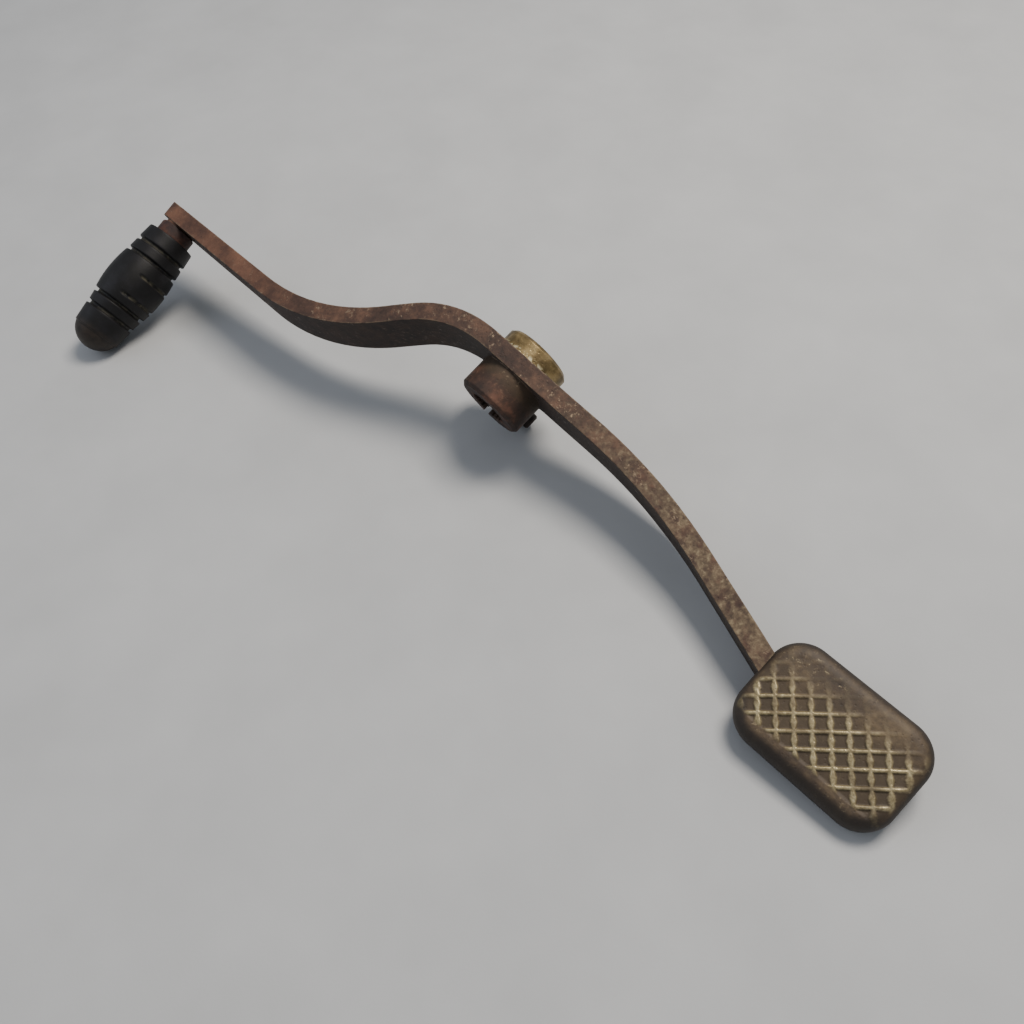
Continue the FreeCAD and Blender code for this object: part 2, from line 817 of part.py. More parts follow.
def make_bolt():
    start = size("ear_width") / 2 + size("plain_washer_thick") + size("spring_washer_thick")
    body = new_body("clamp_bolt", clamp_place(-start))
    head = new_sketch(body, "head_view", "XZ_Plane")
    hexagon(head, size("hex_flats"))
    pad(body, head, "head", "head_height", "One side")
    shank = new_sketch(body, "shank_view", "XZ_Plane")
    circle(shank, (0, 0), "bolt_radius - 0.05")
    reach = "ear_width + plain_washer_thick + spring_washer_thick + nut_height + bolt_tail"
    pad(body, shank, "shank", reach, "One side", True)
    far = body.Tip.Shape.BoundBox.YMax
    tail = edges_where(body, lambda edge: edge.BoundBox.YMin > far - 0.01)
    dress(body, "Chamfer", "tail_point", tail, "Size", "bolt_radius / 5")
    return body


def make_nut():
    body = new_body("clamp_nut", clamp_place(size("ear_width") / 2))
    blank = new_sketch(body, "nut_view", "XZ_Plane")
    hexagon(blank, size("hex_flats"))
    circle(blank, (0, 0), "bolt_radius")
    pad(body, blank, "nut", "nut_height", "One side", True)
    return body


def make_plain_washer():
    body = new_body("plain_washer", clamp_place(-size("ear_width") / 2))
    ring = new_sketch(body, "plain_washer_view", "XZ_Plane")
    circle(ring, (0, 0), "plain_washer_radius")
    circle(ring, (0, 0), "bolt_radius + 0.2")
    pad(body, ring, "washer", "plain_washer_thick", "One side")
    return body


def make_spring_washer():
    body = new_body("spring_washer", clamp_place(-size("ear_width") / 2 - size("plain_washer_thick")))
    ring = new_sketch(body, "spring_washer_view", "XZ_Plane")
    circle(ring, (0, 0), "spring_washer_radius")
    circle(ring, (0, 0), "bolt_radius + 0.15")
    pad(body, ring, "coil", "spring_washer_thick", "One side")
    split = new_sketch(body, "split_view", "XZ_Plane")
    gap = size("spring_washer_split") / 2
    far = 2 * size("spring_washer_radius")
    closed(split, [(0.5, -gap), (far, -gap), (far, gap), (0.5, gap)])
    pocket(body, split, "split", "4 * spring_washer_thick")
    return body


make_arm()
make_toe_pin()
make_rubber()
make_pad()
make_weld("pad_weld_inner", 1)
make_weld("pad_weld_outer", -1)
make_bolt()
make_plain_washer()
make_spring_washer()
make_nut()
doc.recompute()

for item in doc.Objects:
    if {"Invalid", "Error"} & set(item.State):
        raise RuntimeError(item.Name + " did not compute")
os.makedirs("parts", exist_ok=True)
for body in SUBPARTS:
    if body.Shape.isNull() or not body.Shape.isValid() or len(body.Shape.Solids) != 1:
        raise RuntimeError(body.Label + " is not one sound solid")
    body.Shape.exportStep("parts/" + body.Label + ".step")
    print(body.Label, round(body.Shape.Volume), "mm3")
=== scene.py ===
import math

import bmesh
import bpy
from mathutils import Matrix, Vector


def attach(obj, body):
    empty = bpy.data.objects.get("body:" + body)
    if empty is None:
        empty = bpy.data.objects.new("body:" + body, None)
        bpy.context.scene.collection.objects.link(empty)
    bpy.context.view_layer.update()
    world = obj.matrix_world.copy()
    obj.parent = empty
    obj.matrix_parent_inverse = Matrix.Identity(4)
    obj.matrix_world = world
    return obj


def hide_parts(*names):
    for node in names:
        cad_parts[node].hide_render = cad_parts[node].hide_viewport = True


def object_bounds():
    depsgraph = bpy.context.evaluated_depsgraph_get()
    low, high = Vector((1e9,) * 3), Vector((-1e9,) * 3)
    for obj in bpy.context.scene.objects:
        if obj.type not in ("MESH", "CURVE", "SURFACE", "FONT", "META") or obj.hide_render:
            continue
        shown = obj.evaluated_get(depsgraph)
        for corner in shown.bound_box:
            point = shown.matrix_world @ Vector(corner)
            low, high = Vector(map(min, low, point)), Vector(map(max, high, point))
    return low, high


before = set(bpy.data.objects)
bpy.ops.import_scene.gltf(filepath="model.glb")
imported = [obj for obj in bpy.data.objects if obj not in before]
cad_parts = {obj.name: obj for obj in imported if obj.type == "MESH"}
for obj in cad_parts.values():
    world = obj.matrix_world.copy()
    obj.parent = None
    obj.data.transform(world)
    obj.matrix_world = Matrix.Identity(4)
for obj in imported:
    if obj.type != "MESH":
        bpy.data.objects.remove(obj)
frame_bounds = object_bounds()

# Heel and toe gear change lever, worn and rusty, lying loose on a table.
# Lengths are millimetres in the lever's own frame: Y along the toe peg, X to the heel pad, Z up.
MM = 0.001
REST_ROLL = math.radians(21.15)
REST_PITCH = math.radians(6.65)
LEVER = Matrix.Rotation(REST_ROLL, 4, "X") @ Matrix.Rotation(REST_PITCH, 4, "Y")
LEVER_TO_METRES = LEVER @ Matrix.Scale(MM, 4)
HUB_YAW = math.radians(-8.0)
BOSS_RADIUS = 12.3
FLANK = 3.3
WELD_RIPPLE = 9.6

# toe rubber: where its root face stands, and its ribs as length, first radius and last radius;
# each part groove is a share of the barrel's length and the angle in degrees where it starts
PEG_ROOT = Vector((-162.61, -24.3, -12.03))
PEG_BORE = 4.83
PEG_BORE_DEPTH = 45.2
PEG_RIBS = ((6.1, 9.5, 10.0), (4.2, 10.1, 10.4), (19.2, 10.8, 10.8), (3.9, 10.2, 9.8), (8.0, 9.75, 9.1))
PEG_BELLY = 11.6
PEG_GROOVE = 1.5
PEG_GROOVE_DEEP = 1.2
PEG_DOME = 6.6
PEG_EDGE = 0.45
EDGE_STEPS = 4
BARREL = 2
PEG_TURNS = 128
DOME_RINGS = 14
PART_GROOVES = ((0.32, 44.0), (0.8, 35.0))
PART_GROOVE_WIDE = 1.1
PART_GROOVE_DEEP = 0.75

# heel pad
PAD_AT = Vector((140.18, -43.3, 16.6))
PAD_TILT = math.radians(5.0)
PAD_YAW = math.radians(7.0)
PAD_HALF = (24.5, 16.4)
PAD_CORNER = 10.0
PAD_ROLL = 4.8
PAD_PLATE = 2.8
PAD_SKIRT = 5.4
PAD_WALL = 2.6
PAD_CROWN = 0.7
PAD_GRID = (200, 140)
PAD_FLAT_SHARE = 0.86
KNURL_PITCH = 4.6
KNURL_TURN = math.radians(41.0)
KNURL_DEEP = 0.6
WORN_DEEP = 0.25
# a ridge starts at this share of the way to its line and is whole after the fall; one set is lens-shaped
RIDGE_WIDE = 0.5
RIDGE_WIDE_FALL = 0.22
RIDGE_LENS = 0.22
RIDGE_THIN = 0.66
RIDGE_THIN_FALL = 0.24
# plain margin left at the pad's ends, its outer side and its inner side
KNURL_ENDS = 1.2
KNURL_OUTER = 5.0
KNURL_INNER = 2.0

# camera in the row frame, in metres
CAMERA_AT = Vector((0.15563, -0.16336, 0.21993))
CAMERA_TOWARDS = Vector((0.0213, -0.0313, -0.0260))
CAMERA_ROLL = math.radians(-5.84)
CAMERA_LENS = 32.77


# ---------------------------------------------------------------- colour and node helpers

def linear(colour):
    """An sRGB hex colour as linear RGBA."""
    parts = [int(colour[i:i + 2], 16) / 255 for i in (1, 3, 5)]
    return [c / 12.92 if c < 0.04045 else ((c + 0.055) / 1.055) ** 2.4 for c in parts] + [1.0]


def add(tree, kind, inputs=None, **settings):
    """A shader node with its settings, and its inputs set to values or linked from sockets."""
    node = tree.nodes.new("ShaderNode" + kind)
    for name, value in settings.items():
        setattr(node, name, value)
    for name, value in (inputs or {}).items():
        if isinstance(value, bpy.types.NodeSocket):
            tree.links.new(value, node.inputs[name])
        else:
            node.inputs[name].default_value = value
    return node


def ramp(tree, factor, stops):
    """A colour ramp through (position, hex colour) stops."""
    node = add(tree, "ValToRGB", {"Fac": factor})
    points = node.color_ramp.elements
    while len(points) < len(stops):
        points.new(0.5)
    for point, (position, colour) in zip(points, stops):
        point.position = position
        point.color = linear(colour)
    return node.outputs["Color"]


def curve(tree, value, low, high, to_low=0.0, to_high=1.0):
    """A value taken smoothly from one range to another."""
    inputs = {"Value": value, "From Min": low, "From Max": high, "To Min": to_low, "To Max": to_high}
    return add(tree, "MapRange", inputs, interpolation_type="SMOOTHSTEP").outputs["Result"]


def grain(tree, place, size, detail=4.0, rough=0.6):
    """Noise whose features are about size millimetres across."""
    inputs = {"Vector": place, "Scale": 1 / (size * MM), "Detail": detail, "Roughness": rough}
    return add(tree, "TexNoise", inputs).outputs["Fac"]


def times(tree, first, second):
    """The product of two values, each a socket or a number."""
    return add(tree, "Math", {0: first, 1: second}, operation="MULTIPLY").outputs[0]


def plus(tree, first, second):
    """The sum of two values, each a socket or a number."""
    return add(tree, "Math", {0: first, 1: second}, operation="ADD").outputs[0]


def blend(tree, share, first, second):
    """Two colours mixed by share; each is a socket or a hex colour."""
    node = add(tree, "Mix", data_type="RGBA")
    tree.links.new(share, node.inputs["Factor"])
    for name, colour in (("A", first), ("B", second)):
        socket = [entry for entry in node.inputs if entry.name == name and entry.type == "RGBA"][0]
        if isinstance(colour, str):
            socket.default_value = linear(colour)
        else:
            tree.links.new(colour, socket)
    return [entry for entry in node.outputs if entry.type == "RGBA"][0]


def new_material(name):
    """An empty material with its tree and the place on the piece, in the row frame."""
    material = bpy.data.materials.new(name)
    material.use_nodes = True
    tree = material.node_tree
    tree.nodes.clear()
    place = add(tree, "TexCoord").outputs["Object"]
    return material, tree, place


def finish_surface(tree, height, deep, rounding=0.0, **sockets):
    """The surface shader, with relief deep millimetres high and its sharp edges rounded."""
    bump_inputs = {"Height": height, "Distance": deep * MM, "Strength": 1.0}
    if rounding:
        bump_inputs["Normal"] = add(tree, "Bevel", {"Radius": rounding * MM}, samples=6).outputs["Normal"]
    bump = add(tree, "Bump", bump_inputs)
    shader = add(tree, "BsdfPrincipled", {"Normal": bump.outputs["Normal"]})
    for name, value in sockets.items():
        socket = shader.inputs[name.replace("_", " ")]
        if isinstance(value, bpy.types.NodeSocket):
            tree.links.new(value, socket)
        else:
            socket.default_value = value
    output = add(tree, "OutputMaterial")
    tree.links.new(shader.outputs["BSDF"], output.inputs["Surface"])


def lever_place(tree, place):
    """The same place in the lever's own frame, in metres."""
    inputs = {"Vector": place, "Rotation": (-REST_ROLL, -REST_PITCH, 0.0)}
    return add(tree, "Mapping", inputs).outputs["Vector"]


def edge_wear(tree, radius):
    """0 on flat faces, rising to 1 on edges sharper than the radius."""
    worn = add(tree, "Bevel", {"Radius": radius * MM}, samples=6).outputs["Normal"]
    true = add(tree, "NewGeometry").outputs["Normal"]
    dot = add(tree, "VectorMath", {0: worn, 1: true}, operation="DOT_PRODUCT").outputs["Value"]
    return curve(tree, dot, 0.995, 0.86)


# ---------------------------------------------------------------- materials

def rusted(tree, place, tones, specks, spots=0.62):
    """Colour, roughness and relief of old rust: tones run dark to light, specks are rubbed metal."""
    broad = grain(tree, place, 14.0, 3.0)
    fine = grain(tree, place, 2.2, 6.0, 0.7)
    mixed = plus(tree, times(tree, broad, 0.55), times(tree, fine, 0.45))
    base = ramp(tree, mixed, ((0.34, tones[0]), (0.5, tones[1]), (0.66, tones[2])))
    patches = curve(tree, grain(tree, place, 1.5, 5.0, 0.75), spots, spots + 0.1)
    where = curve(tree, grain(tree, place, 9.0, 2.0), 0.42, 0.6)
    rubbed = times(tree, patches, where)
    colour = blend(tree, rubbed, base, specks)
    pits = add(tree, "TexVoronoi", {"Vector": place, "Scale": 1 / (1.4 * MM)}).outputs["Distance"]
    pitted = curve(tree, pits, 0.05, 0.3)
    colour = blend(tree, curve(tree, pits, 0.16, 0.04, 0.0, 0.7), colour, tones[0])
    return colour, rubbed, plus(tree, times(tree, pitted, 0.5), fine)


def flank_shade_mask(tree):
    """0 on faces that look up in the lever's own frame, 0.82 on its flanks and underside: the mask for
    painted shade.
    """
    world = add(tree, "NewGeometry").outputs["Normal"]
    own = add(tree, "VectorTransform", {"Vector": world}, vector_type="NORMAL",
              convert_from="WORLD", convert_to="OBJECT").outputs["Vector"]
    parts = add(tree, "SeparateXYZ", {"Vector": lever_place(tree, own)})
    return curve(tree, parts.outputs["Z"], 0.35, 0.85, 0.82, 0.0)


def bar_colour(tree, place, colour):
    """The bar: redder towards the toe, tan towards the pad, pale on worn edges, and painted dark as shade on
    its flanks and underside.
    """
    own = add(tree, "SeparateXYZ", {"Vector": lever_place(tree, place)})
    toe = times(tree, curve(tree, own.outputs["X"], -0.05, -0.13), 0.7)
    colour = blend(tree, toe, colour, ramp(tree, grain(tree, place, 9.0, 4.0), (
        (0.34, "#3a2219"), (0.52, "#61402f"), (0.7, "#7b543f"))))
    towards_pad = curve(tree, own.outputs["X"], 0.0, 0.09, 0.0, 0.75)
    heel = times(tree, towards_pad, curve(tree, grain(tree, place, 4.0), 0.32, 0.6))
    colour = blend(tree, heel, colour, ramp(tree, grain(tree, place, 1.6, 6.0), (
        (0.34, "#4a3c2d"), (0.52, "#6f5f49"), (0.68, "#9a8a6c"))))
    uneven = curve(tree, grain(tree, place, 3.0, 5.0), 0.4, 0.62, 0.0, 0.7)
    colour = blend(tree, times(tree, edge_wear(tree, 0.8), uneven), colour, "#8f7d64")
    # painted shade: flanks and underside darkened as if light falls only from above
    dark = ramp(tree, grain(tree, place, 3.0, 5.0), ((0.35, "#120c09"), (0.65, "#2c1f18")))
    colour = blend(tree, flank_shade_mask(tree), colour, dark)
    return colour


def boss_colour(tree, place, colour):
    """The boss: dark and reddish on its outer part, brass-like on the inner one, with a painted highlight
    line along the arm's edge.
    """
    at_hub = add(tree, "Mapping", {"Vector": lever_place(tree, place), "Rotation": (0.0, 0.0, -HUB_YAW)})
    hub = add(tree, "SeparateXYZ", {"Vector": at_hub.outputs["Vector"]})
    across = add(tree, "CombineXYZ", {"X": hub.outputs["X"], "Z": hub.outputs["Z"]}).outputs["Vector"]
    radius = add(tree, "VectorMath", {0: across}, operation="LENGTH").outputs["Value"]
    near = curve(tree, radius, (BOSS_RADIUS + 2) * MM, (BOSS_RADIUS + 0.2) * MM)
    inner = times(tree, near, curve(tree, hub.outputs["Y"], (FLANK - 0.1) * MM, (FLANK + 0.2) * MM))
    outer = times(tree, near, curve(tree, hub.outputs["Y"], (-FLANK - 2) * MM, (-FLANK - 4) * MM))
    colour = blend(tree, times(tree, outer, 0.7), colour, ramp(tree, grain(tree, place, 6.0, 5.0), (
        (0.36, "#1c120d"), (0.54, "#38241a"), (0.7, "#6a4434"))))
    web = times(tree, near, curve(tree, hub.outputs["Y"], (-FLANK - 7) * MM, (-FLANK - 3) * MM, 0.0, 0.6))
    flank = curve(tree, hub.outputs["Y"], -FLANK * MM, (-FLANK - 0.3) * MM)
    colour = blend(tree, times(tree, web, flank), colour, "#3d3220")
    polish = times(tree, inner, curve(tree, grain(tree, place, 7.0), 0.3, 0.62, 0.75, 1.0))
    colour = blend(tree, polish, colour, ramp(tree, grain(tree, place, 5.0, 6.0), (
        (0.28, "#4a3c26"), (0.42, "#6d5c38"), (0.55, "#8f7a51"), (0.7, "#ad986c"))))
    # painted highlight: a pale glint line on the inner boss beside the arm
    line = times(tree, inner, curve(tree, hub.outputs["Y"], (FLANK + 1.6) * MM, (FLANK + 0.5) * MM))
    line = times(tree, line, curve(tree, grain(tree, place, 1.6, 4.0), 0.46, 0.56))
    colour = blend(tree, line, colour, "#d8cca6")
    return colour, polish


def rusted_forging():
    """Forged steel, hot scale gone to rust: brown and matt, rubbed to tan in specks and along edges.

    Its flanks and underside are painted darker as shade, and the boss has an olive, brass-like polish from
    handling.
    """
    material, tree, place = new_material("forged_steel_rusted")
    colour, rubbed, relief = rusted(tree, place, ("#1b110c", "#412d23", "#674a39"), "#96826b", 0.55)
    colour = bar_colour(tree, place, colour)
    colour, polish = boss_colour(tree, place, colour)
    metal = add(tree, "Math", {0: polish, 1: rubbed}, operation="MAXIMUM").outputs[0]
    finish_surface(tree, relief, 0.14, 0.6, Base_Color=colour, Metallic=times(tree, metal, 0.55),
                   Roughness=curve(tree, metal, 0.0, 1.0, 0.72, 0.4))
    return material


def turned_pin():
    """Turned steel gone to red-brown rust where the rubber and the collar meet."""
    material, tree, place = new_material("turned_steel_rusted")
    colour, rubbed, relief = rusted(tree, place, ("#150b08", "#35201a", "#573325"), "#6f5747", 0.66)
    finish_surface(tree, relief, 0.1, 0.3, Base_Color=colour, Metallic=times(tree, rubbed, 0.5),
                   Roughness=0.68)
    return material


def dark_fastener():
    """Bright-drawn fastener steel, blackened and rusted, paler along its worn edges."""
    material, tree, place = new_material("fastener_steel_blackened")
    colour, _, relief = rusted(tree, place, ("#120e0c", "#2a201b", "#46362d"), "#6f6254", 0.62)
    colour = blend(tree, times(tree, edge_wear(tree, 0.4), 0.5), colour, "#6a5848")
    finish_surface(tree, relief, 0.07, 0.25, Base_Color=colour, Metallic=0.35, Roughness=0.6)
    return material


def weld_metal():
    """Arc-welded bead, rippled across its run and rusted with the plate."""
    material, tree, place = new_material("weld_bead_rusted")
    colour, _, relief = rusted(tree, place, ("#1a110d", "#3a2a21", "#5a4436"), "#7f6c59", 0.62)
    waves = add(tree, "TexWave", {"Vector": place, "Scale": 1 / (WELD_RIPPLE * MM), "Distortion": 2.0})
    height = plus(tree, waves.outputs["Fac"], relief)
    finish_surface(tree, height, 0.2, 0.4, Base_Color=colour, Roughness=0.66)
    return material


def worn_pad():
    """Knurled pressed steel under worn paint: ridges rubbed to a brassy shine, cells brown with dirt, and its
    sides and outer rolled rim painted dark as shade.
    """
    material, tree, place = new_material("knurled_plate_worn")
    colour, _, relief = rusted(tree, place, ("#2a2018", "#4a3c2c", "#68573f"), "#8f8063", 0.58)
    ridge = add(tree, "Attribute", attribute_name="ridge").outputs["Fac"]
    cell = add(tree, "Attribute", attribute_name="cell").outputs["Fac"]
    flank = add(tree, "Attribute", attribute_name="flank").outputs["Fac"]
    colour = blend(tree, times(tree, cell, 0.75), colour, "#3f3322")
    bright = times(tree, ridge, curve(tree, grain(tree, place, 5.0, 5.0, 0.65), 0.34, 0.6, 0.25, 1.0))
    ridge_tone = ramp(tree, grain(tree, place, 1.2, 6.0, 0.7), (
        (0.3, "#7f7152"), (0.55, "#b5a67f"), (0.75, "#d2c7a4")))
    colour = blend(tree, bright, colour, ridge_tone)
    # painted shade on the pad's sides and outer rolled rim
    colour = blend(tree, times(tree, flank, 0.85), colour, "#1a130e")
    finish_surface(tree, relief, 0.1, Base_Color=colour, Metallic=times(tree, bright, 0.6),
                   Roughness=curve(tree, bright, 0.0, 1.0, 0.62, 0.38))
    return material


def aged_rubber():
    """Moulded black rubber with a faint blue bloom, dust caught in its grooves and a scuffed brown tip."""
    material, tree, place = new_material("moulded_rubber_aged")
    bloom = ramp(tree, grain(tree, place, 7.0, 5.0), ((0.35, "#0b0a0a"), (0.52, "#100f10"), (0.7, "#1a191d")))
    groove = add(tree, "Attribute", attribute_name="groove").outputs["Fac"]
    tip = add(tree, "Attribute", attribute_name="tip").outputs["Fac"]
    dust = times(tree, groove, curve(tree, grain(tree, place, 3.0, 5.0, 0.7), 0.38, 0.62, 0.0, 0.6))
    scuffed = curve(tree, grain(tree, place, 4.0), 0.3, 0.6, 0.3, 0.9)
    colour = blend(tree, times(tree, tip, scuffed), bloom, "#332b24")
    colour = blend(tree, dust, colour, "#6a6555")
    scuffs = curve(tree, grain(tree, place, 1.3, 6.0, 0.75), 0.62, 0.72, 0.0, 0.35)
    colour = blend(tree, scuffs, colour, "#3c3734")
    skin = grain(tree, place, 0.5, 4.0)
    finish_surface(tree, skin, 0.05, Base_Color=colour, Specular_IOR_Level=0.3,
                   Roughness=curve(tree, dust, 0.0, 0.6, 0.5, 0.85))
    return material


# ---------------------------------------------------------------- mesh helpers

def as_piece(bm, name, material, local):
    """The mesh as an object at the origin, placed in the row frame."""
    bmesh.ops.transform(bm, matrix=LEVER_TO_METRES @ local, verts=bm.verts)
    mesh = bpy.data.meshes.new(name)
    bm.to_mesh(mesh)
    bm.free()
    mesh.shade_smooth()
    piece = bpy.data.objects.new(name, mesh)
    piece.data.materials.append(material)
    bpy.context.collection.objects.link(piece)
    return piece


def smooth(value, low, high):
    """0 below low, 1 above high, smooth between."""
    share = min(max((value - low) / (high - low), 0.0), 1.0)
    return share * share * (3 - 2 * share)


# ---------------------------------------------------------------- toe rubber

def rounded_edge(at, radius, inwards):
    """Points round a rib's edge; inwards is 1 where the rib starts and -1 where it ends."""
    points = []
    for step in range(EDGE_STEPS + 1):
        turn = math.radians(90 * step / EDGE_STEPS)
        along = at + inwards * PEG_EDGE * (1 - math.sin(turn))
        points.append((along, radius - PEG_EDGE * (1 - math.cos(turn)), 0.0))
    return points[::-inwards]


def rib_outline(along, length, first, final, belly):
    """A rib's outside from its first edge to its last, swelling to belly at its middle."""
    points = rounded_edge(along, first, 1)
    rings = 70 if belly else 10
    for step in range(1, rings):
        share = step / rings
        radius = first + (final - first) * share
        if belly:
            radius += (belly - first) * (1 - (2 * share - 1) ** 2)
        points.append((along + PEG_EDGE + (length - 2 * PEG_EDGE) * share, radius, 0.0))
    return points + rounded_edge(along + length, final, -1)


def peg_outline():
    """(distance from the root, radius, groove share) down the rubber's outside."""
    points = []
    along = 0.0
    last = len(PEG_RIBS) - 1
    for number, (length, first, final) in enumerate(PEG_RIBS):
        points += rib_outline(along, length, first, final, PEG_BELLY if number == BARREL else 0.0)
        along += length
        if number < last:
            floor = min(final, PEG_RIBS[number + 1][1]) - PEG_GROOVE_DEEP
            for share, dusty in ((0.12, 0.2), (0.5, 1.0), (0.88, 0.2)):
                points.append((along + PEG_GROOVE * share, floor, dusty))
            along += PEG_GROOVE
    return points, along


def part_groove(along, angle):
    """Depth of the two grooves that cross only one side of the rubber's barrel."""
    start = sum(rib[0] for rib in PEG_RIBS[:BARREL]) + BARREL * PEG_GROOVE
    degrees = math.degrees(angle) % 360
    deep = 0.0
    for share, first in PART_GROOVES:
        side = smooth(degrees, first - 4, first + 4) * smooth(first + 170 - degrees, 0, 8)
        away = abs(along - start - PEG_RIBS[BARREL][0] * share)
        deep = max(deep, smooth(PART_GROOVE_WIDE / 2 - away, -0.25, 0.25) * side)
    return deep


def make_peg_rubber(material):
    """A spun sleeve, closed by a dome, with part grooves pressed into one side of its barrel."""
    bm = bmesh.new()
    groove = bm.verts.layers.float.new("groove")
    tip = bm.verts.layers.float.new("tip")
    outside, length = peg_outline()
    end = PEG_RIBS[-1][2] - PEG_EDGE
    ball = (end ** 2 + PEG_DOME ** 2) / (2 * PEG_DOME)
    half = math.asin(end / ball)
    centre = length + PEG_DOME - ball
    dome = []
    for ring in range(1, DOME_RINGS + 1):
        turn = half * (1 - ring / DOME_RINGS)
        dome.append((centre + ball * math.cos(turn), ball * math.sin(turn), 0.0))
    inside = [(PEG_BORE_DEPTH, 0.0, 0.0), (PEG_BORE_DEPTH, PEG_BORE, 0.0), (0.0, PEG_BORE, 0.0)]
    chain = []
    for along, radius, share in inside + outside + dome:
        vert = bm.verts.new((0.0, -along, radius))
        vert[groove] = share
        vert[tip] = smooth(along, length - 3.0, length + 1.5)
        chain.append(vert)
    edges = [bm.edges.new(pair) for pair in zip(chain, chain[1:])]
    bmesh.ops.spin(bm, geom=chain + edges, cent=(0, 0, 0), axis=(0, 1, 0), angle=math.tau,
                   steps=PEG_TURNS, use_merge=True)
    bmesh.ops.remove_doubles(bm, verts=bm.verts, dist=0.002)
    for vert in bm.verts:
        radius = math.hypot(vert.co.x, vert.co.z)
        if radius < PEG_BORE + 2:
            continue
        deep = part_groove(-vert.co.y, math.atan2(vert.co.x, vert.co.z))
        if deep:
            vert[groove] = max(vert[groove], deep)
            vert.co.x *= 1 - deep * PART_GROOVE_DEEP / radius
            vert.co.z *= 1 - deep * PART_GROOVE_DEEP / radius
    bmesh.ops.recalc_face_normals(bm, faces=bm.faces)
    piece = as_piece(bm, "peg_rubber_sleeve", material, Matrix.Translation(PEG_ROOT))
    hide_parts("peg_rubber")
    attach(piece, "rubber")


# ---------------------------------------------------------------- heel pad

def pad_line(share, half):
    """Grid lines across the pad: even over the flat, then even in angle round the rolled edge."""
    if abs(share) <= PAD_FLAT_SHARE:
        return share / PAD_FLAT_SHARE * (half - PAD_ROLL)
    turn = (abs(share) - PAD_FLAT_SHARE) / (1 - PAD_FLAT_SHARE) * math.pi / 2
    return math.copysign(half - PAD_ROLL + PAD_ROLL * math.sin(turn), share)


def pad_corner(x, y):
    """A point of the plain rectangle moved into the rounded one, and its distance from the rim."""
    into_x = (abs(x) - PAD_HALF[0]) / PAD_CORNER + 1
    into_y = (abs(y) - PAD_HALF[1]) / PAD_CORNER + 1
    if into_x > 0 and into_y > 0:
        into_x, into_y = into_x * math.sqrt(1 - into_y ** 2 / 2), into_y * math.sqrt(1 - into_x ** 2 / 2)
        x = math.copysign(PAD_HALF[0] + (into_x - 1) * PAD_CORNER, x)
        y = math.copysign(PAD_HALF[1] + (into_y - 1) * PAD_CORNER, y)
    rim = PAD_CORNER * (1 - math.hypot(max(into_x, 0), max(into_y, 0)))
    return x, y, rim


def knurl(x, y):
    """Ridge height, 0 to 1, of the crossed knurl, and how much of it is left after wear."""
    across = []
    for turn in (KNURL_TURN, KNURL_TURN + math.pi / 2):
        lines = (x * math.cos(turn) + y * math.sin(turn)) / KNURL_PITCH
        across.append(abs(lines - math.floor(lines) - 0.5) * 2)
    lens = RIDGE_WIDE + RIDGE_LENS * across[1]
    wide = smooth(across[0], lens, lens + RIDGE_WIDE_FALL)
    thin = smooth(across[1], RIDGE_THIN, RIDGE_THIN + RIDGE_THIN_FALL)
    worn = smooth(y - 0.12 * x, 1.0, 10.0) * 0.95
    rim = min(PAD_HALF[0] - abs(x) - KNURL_ENDS, y + PAD_HALF[1] - KNURL_OUTER, PAD_HALF[1] - y - KNURL_INNER)
    left = (1 - worn) * smooth(rim, 0.0, 1.2)
    return max(wide, thin), left


def make_heel_pad(material):
    """A pressed cup: crowned and knurled on top, rolled at the rim and open below."""
    bm = bmesh.new()
    ridge_layer = bm.verts.layers.float.new("ridge")
    cell_layer = bm.verts.layers.float.new("cell")
    side_shade_layer = bm.verts.layers.float.new("flank")
    bmesh.ops.create_grid(bm, x_segments=PAD_GRID[0], y_segments=PAD_GRID[1], size=1.0)
    for vert in bm.verts:
        x, y, rim = pad_corner(pad_line(vert.co.x, PAD_HALF[0]), pad_line(vert.co.y, PAD_HALF[1]))
        over = max(PAD_ROLL - max(rim, 0.0), 0.0)
        drop = PAD_ROLL - math.sqrt(max(PAD_ROLL ** 2 - over ** 2, 0.0))
        crown = PAD_CROWN * ((x / PAD_HALF[0]) ** 2 + (y / PAD_HALF[1]) ** 2) / 2
        ridge, left = knurl(x, y)
        sunk = KNURL_DEEP * left * (1 - ridge) + WORN_DEEP * (1 - left)
        share = 1 - over / PAD_ROLL
        vert.co = (x, y, PAD_PLATE - drop - (crown + sunk) * share)
        vert[ridge_layer] = ridge * left
        vert[cell_layer] = (1 - ridge) * left
        # painted shade: the rolled rim darkens, most of all on the outer side, and the skirt walls darken
        # fully
        outer_side = smooth(-y, 4.0, 12.0)
        vert[side_shade_layer] = max(smooth(drop, 0.3, 2.5), smooth(over, 0.3, 2.4) * outer_side)
    rim_edges = [edge for edge in bm.edges if edge.is_boundary]
    for move in (pad_wall_down, pad_wall_in, pad_wall_up):
        made = bmesh.ops.extrude_edge_only(bm, edges=rim_edges)["geom"]
        for vert in [item for item in made if isinstance(item, bmesh.types.BMVert)]:
            vert.co = move(vert.co)
            vert[side_shade_layer] = 1.0
        rim_edges = [item for item in made if isinstance(item, bmesh.types.BMEdge) and item.is_boundary]
    bmesh.ops.holes_fill(bm, edges=rim_edges, sides=0)
    bmesh.ops.recalc_face_normals(bm, faces=bm.faces)
    turn = Matrix.Rotation(-PAD_TILT, 4, "Y") @ Matrix.Rotation(-PAD_YAW, 4, "Z")
    piece = as_piece(bm, "heel_pad_knurled", material, Matrix.Translation(PAD_AT) @ turn)
    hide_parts("heel_pad")
    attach(piece, "lever")


def pad_wall_down(point):
    """A point of the rolled rim taken straight down to the skirt's lower edge."""
    return Vector((point.x, point.y, -PAD_SKIRT))


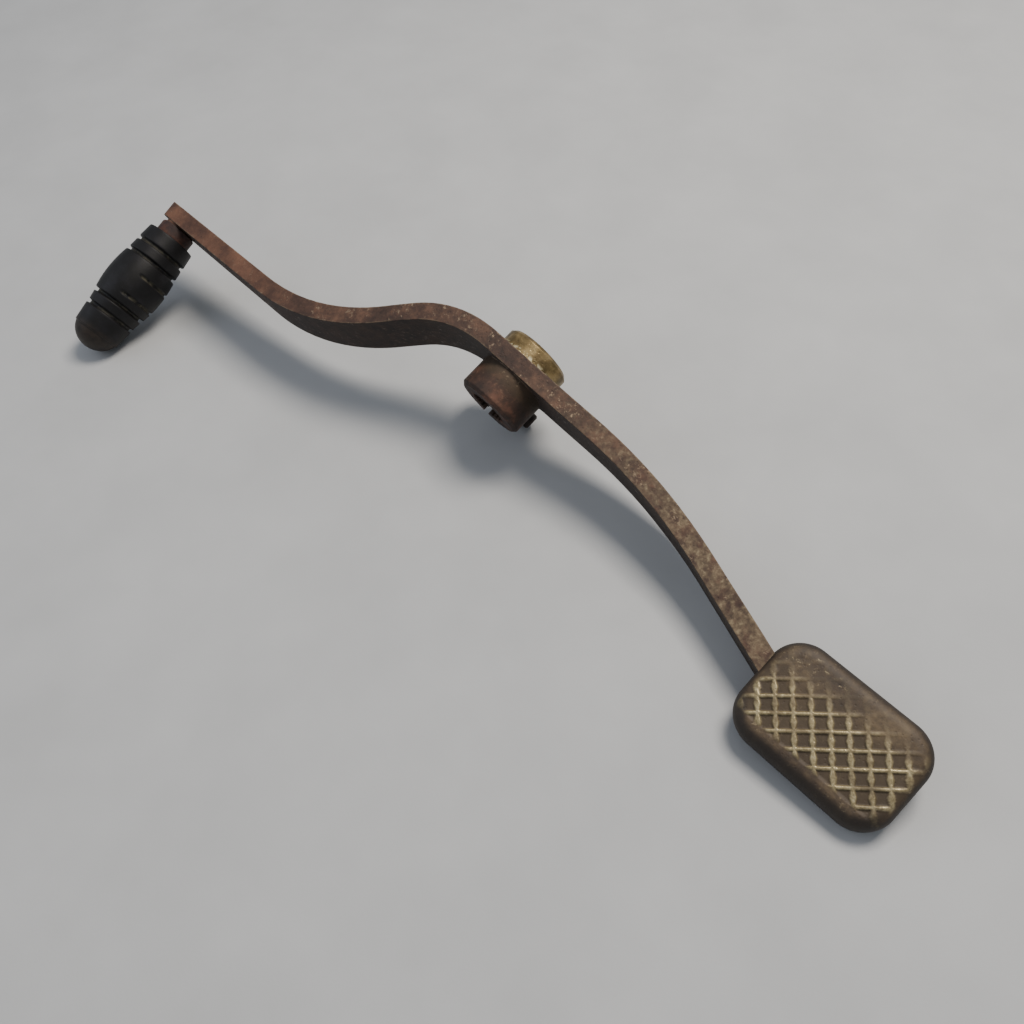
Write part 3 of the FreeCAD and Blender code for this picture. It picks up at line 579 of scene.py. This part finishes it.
def pad_wall_up(point):
    """A point inside the skirt taken up to the plate's underside."""
    return Vector((point.x, point.y, 0.0))


def pad_wall_in(point):
    """A point of the skirt's lower rim moved in by the wall's thickness."""
    core = [half - PAD_CORNER for half in PAD_HALF]
    centre = Vector((max(-core[0], min(core[0], point.x)), max(-core[1], min(core[1], point.y)), point.z))
    out = point - centre
    return centre + out.normalized() * (out.length - PAD_WALL)


# ---------------------------------------------------------------- camera, light and floor

def place_camera():
    """Above the outer side of the lever, looking down past the boss."""
    camera = bpy.data.objects.new("camera", bpy.data.cameras.new("camera"))
    bpy.context.collection.objects.link(camera)
    camera.location = CAMERA_AT
    turn = (CAMERA_TOWARDS - CAMERA_AT).to_track_quat("-Z", "Y").to_matrix().to_4x4()
    camera.matrix_world = Matrix.Translation(CAMERA_AT) @ turn @ Matrix.Rotation(CAMERA_ROLL, 4, "Z")
    camera.data.lens = CAMERA_LENS
    camera.data.sensor_width = 36.0
    camera.data.clip_start = 0.01
    bpy.context.scene.camera = camera


def soft_light(name, towards, away, wide, power, colour):
    """A square area light, away metres from the lever, facing its middle."""
    light = bpy.data.lights.new(name, "AREA")
    light.size = wide
    light.energy = power
    light.color = linear(colour)[:3]
    lamp = bpy.data.objects.new(name, light)
    bpy.context.collection.objects.link(lamp)
    lamp.location = Vector(towards).normalized() * away
    lamp.rotation_euler = (-Vector(towards)).to_track_quat("-Z", "Y").to_euler()


def make_floor():
    """A pale, plain table top at the lever's lowest point."""
    material, tree, place = new_material("painted_board_pale")
    tone = ramp(tree, grain(tree, place, 40.0, 3.0), ((0.3, "#b4b6b8"), (0.7, "#bcbec0")))
    finish_surface(tree, grain(tree, place, 1.0, 3.0), 0.03, Base_Color=tone, Roughness=0.85)
    bm = bmesh.new()
    bmesh.ops.create_grid(bm, x_segments=1, y_segments=1, size=3.0)
    bmesh.ops.translate(bm, verts=bm.verts, vec=(0, 0, frame_bounds[0][2]))
    mesh = bpy.data.meshes.new("floor")
    bm.to_mesh(mesh)
    bm.free()
    floor = bpy.data.objects.new("floor", mesh)
    floor.data.materials.append(material)
    bpy.context.collection.objects.link(floor)


steel = rusted_forging()
pin = turned_pin()
fastener = dark_fastener()
weld = weld_metal()
FINISHES = {
    "lever_arm": steel,
    "toe_pin": pin,
    "pad_weld_inner": weld,
    "pad_weld_outer": weld,
    "clamp_bolt": fastener,
    "plain_washer": fastener,
    "spring_washer": fastener,
    "clamp_nut": fastener,
}
for node, material in FINISHES.items():
    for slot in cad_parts[node].material_slots:
        slot.material = material
make_peg_rubber(aged_rubber())
make_heel_pad(worn_pad())

world = bpy.data.worlds.new("studio")
world.use_nodes = True
world.node_tree.nodes["Background"].inputs["Color"].default_value = linear("#dfe4ea")
world.node_tree.nodes["Background"].inputs["Strength"].default_value = 0.45
bpy.context.scene.world = world
soft_light("overhead", (0.14, 0.39, 0.98), 0.9, 0.36, 9.0, "#fff6ea")
soft_light("fill", (-0.6, -0.5, 0.6), 1.1, 0.8, 2.0, "#eaf0ff")
make_floor()
place_camera()
